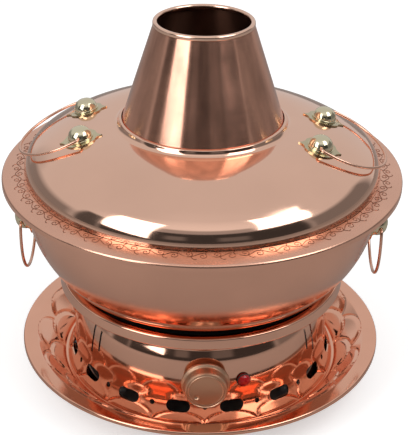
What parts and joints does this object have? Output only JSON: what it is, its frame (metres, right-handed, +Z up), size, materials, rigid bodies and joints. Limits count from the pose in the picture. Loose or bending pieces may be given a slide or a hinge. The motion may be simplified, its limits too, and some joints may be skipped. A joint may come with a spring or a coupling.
{
  "type": "electric chimney hot pot",
  "caption": "Copper-plated hot pot with a central cone chimney, domed lift-off lid with wire bails, and a vented electric base with a round dish and a control knob.",
  "frame": {"origin": "on the table, on the chimney's axis, at the bottom centre of the bounding box", "axes": "+Z up along the chimney's axis; the control knob points along -Y and the inlet along +Y"},
  "size_m": [0.3599, 0.36, 0.3413],
  "materials": {
    "base_steel": "galvanised",
    "bowl_copper": "satin copper plating outside, polished rim",
    "chimney_copper": "brushed copper plating",
    "chimney_lip_copper": "polished copper plating",
    "copper_wire": "polished rose-copper plating on round wire",
    "dome_brass": "polished pale champagne",
    "drum_copper": "satin copper plating, fine lines around the axis",
    "element_steel": "heat-tinted tube",
    "foot_rubber": "matt",
    "fuse_metal": "plain",
    "guide_copper": "satin copper plating",
    "inlet_black": "moulded",
    "knob_copper": "satin copper plating with fine concentric rings",
    "lamp_housing": "heat-proof nylon",
    "lamp_red": "clear red, faceted",
    "lid_copper": "mirror-polished copper plating",
    "pin_brass": "plain",
    "pin_steel": "plain",
    "plate_iron": "matt black enamel on cast iron",
    "post_steel": "zinc plated",
    "rivet_brass": "plain",
    "rosette_brass": "polished, darkened in the recesses",
    "screw_steel": "zinc plated",
    "seat_ring_black": "matt heat-proof silicone",
    "shield_aluminium": "mill finish",
    "thermostat_resin": "moulded phenolic",
    "tray_copper": "satin copper plating",
    "wire_earth_insulation": "glass-braid sleeve, green",
    "wire_fuse_insulation": "glass-braid sleeve, blue",
    "wire_live_insulation": "glass-braid sleeve, brown",
    "wire_neutral_insulation": "glass-braid sleeve, blue",
    "wire_switched_insulation": "glass-braid sleeve, brown"
  },
  "bodies": {
    "base": {"tray": "tray_copper", "drum_shell": "drum_copper", "seat_ring": "seat_ring_black", "base_plate": "base_steel", "heating_plate": "plate_iron", "heating_element": "element_steel", "element_pins": "pin_steel", "heat_shield": "shield_aluminium", "support_posts": "post_steel", "post_screws": "screw_steel", "post_studs": "screw_steel", "foot_screws": "screw_steel", "foot_nuts": "screw_steel", "drum_screws": "screw_steel", "rubber_feet": "foot_rubber", "thermostat_bracket": "post_steel", "thermostat_body": "thermostat_resin", "thermostat_screws": "screw_steel", "lamp_body": "lamp_housing", "lamp_clip": "pin_steel", "lamp_lens": "lamp_red", "power_inlet": "inlet_black", "inlet_pins": "pin_brass", "earth_screw": "screw_steel", "earth_tag": "pin_brass", "thermal_fuse": "fuse_metal", "wire_live": "wire_live_insulation", "wire_switched": "wire_switched_insulation", "wire_neutral": "wire_neutral_insulation", "wire_fuse": "wire_fuse_insulation", "wire_earth": "wire_earth_insulation"},
    "knob": {"thermostat_shaft": "pin_steel", "control_knob": "knob_copper"},
    "bowl": {"bowl_shell": "bowl_copper", "chimney_tube": "chimney_copper", "chimney_lip": "chimney_lip_copper", "bowl_rosette_plate_left_front": "rosette_brass", "bowl_rosette_plate_left_rear": "rosette_brass", "bowl_rosette_plate_right_front": "rosette_brass", "bowl_rosette_plate_right_rear": "rosette_brass", "bowl_rosette_dome_left_front": "dome_brass", "bowl_rosette_dome_left_rear": "dome_brass", "bowl_rosette_dome_right_front": "dome_brass", "bowl_rosette_dome_right_rear": "dome_brass", "bowl_rosette_rivets": "rivet_brass"},
    "lid": {"lid_shell": "lid_copper", "lid_guide_ring": "guide_copper", "lid_rosette_plate_left_front": "rosette_brass", "lid_rosette_plate_left_rear": "rosette_brass", "lid_rosette_plate_right_front": "rosette_brass", "lid_rosette_plate_right_rear": "rosette_brass", "lid_rosette_dome_left_front": "dome_brass", "lid_rosette_dome_left_rear": "dome_brass", "lid_rosette_dome_right_front": "dome_brass", "lid_rosette_dome_right_rear": "dome_brass", "lid_rosette_rivets": "rivet_brass"},
    "lid_bail_left": {"lid_bail_left": "copper_wire"},
    "lid_bail_right": {"lid_bail_right": "copper_wire"},
    "bowl_bail_left": {"bowl_bail_left": "copper_wire"},
    "bowl_bail_right": {"bowl_bail_right": "copper_wire"}
  },
  "joints": [
    {"name": "knob_turn", "type": "hinge", "parent": "base", "child": "knob", "pos_m": [0, -0.124, 0.0528], "axis": [0, 1, 0], "range_deg": [0, 280]},
    {"name": "bowl_lift", "type": "slide", "parent": "base", "child": "bowl", "axis": [0, 0, 1], "range_m": [0, 0.12]},
    {"name": "lid_lift", "type": "slide", "parent": "bowl", "child": "lid", "axis": [0, 0, 1], "range_m": [0, 0.16]},
    {"name": "lid_bail_left_swing", "type": "hinge", "parent": "lid", "child": "lid_bail_left", "pos_m": [-0.107, 0.00355, 0.2477], "axis": [0.0332, 0.9995, 0], "range_deg": [0, 155]},
    {"name": "lid_bail_right_swing", "type": "hinge", "parent": "lid", "child": "lid_bail_right", "pos_m": [0.10547, -0.01841, 0.2477], "axis": [-0.1719, -0.9851, 0], "range_deg": [0, 155]},
    {"name": "bowl_bail_left_swing", "type": "hinge", "parent": "bowl", "child": "bowl_bail_left", "pos_m": [-0.16026, 0.0084, 0.16412], "axis": [0.0523, 0.9986, 0], "range_deg": [-20, 150]},
    {"name": "bowl_bail_right_swing", "type": "hinge", "parent": "bowl", "child": "bowl_bail_right", "pos_m": [0.1602, -0.00952, 0.16412], "axis": [-0.0593, -0.9982, 0], "range_deg": [-20, 150]}
  ]
}
